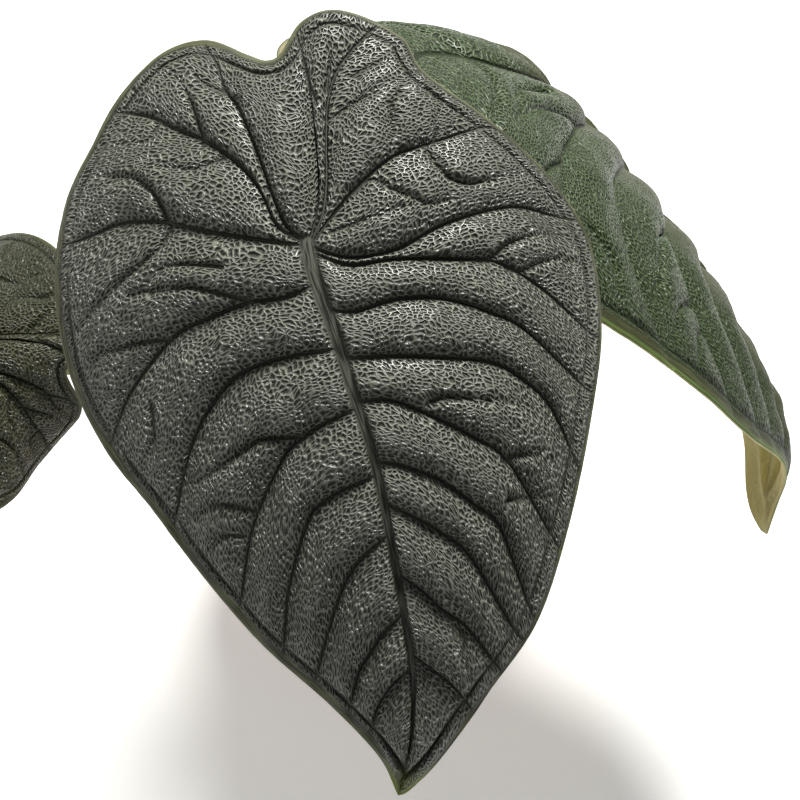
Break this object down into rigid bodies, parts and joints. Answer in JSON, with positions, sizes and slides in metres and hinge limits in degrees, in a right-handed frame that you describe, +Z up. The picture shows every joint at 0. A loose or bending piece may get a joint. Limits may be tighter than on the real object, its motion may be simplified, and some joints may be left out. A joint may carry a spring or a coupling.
{
  "type": "potted plant",
  "caption": "Houseplant with large, quilted, shield-shaped hanging leaves on slender stalks, growing from a short stem in a round tapered clay pot.",
  "frame": {"origin": "centre of the pot's flat base, where it stands on a surface", "axes": "+Z up along the pot's axis; the large front leaf hangs towards -Y, the second leaf towards +X, the small leaf towards -X"},
  "size_m": [0.3749, 0.2612, 0.3052],
  "materials": {
    "pot": "matte unglazed clay",
    "soil": "rough crumbly potting mix",
    "stem": "dry ringed bark-like skin",
    "stalk": "smooth pale green plant skin",
    "leaf_front": "dark grey-green satin, netted and quilted",
    "leaf_right": "dark green satin, netted and quilted",
    "leaf_left": "dark olive satin, netted and quilted"
  },
  "bodies": {
    "root": {"pot": "pot", "soil": "soil", "stem": "stem", "stalk_front": "stalk", "stalk_right": "stalk", "stalk_left": "stalk", "leaf_front": "leaf_front", "leaf_right": "leaf_right", "leaf_left": "leaf_left"}
  },
  "joints": []
}
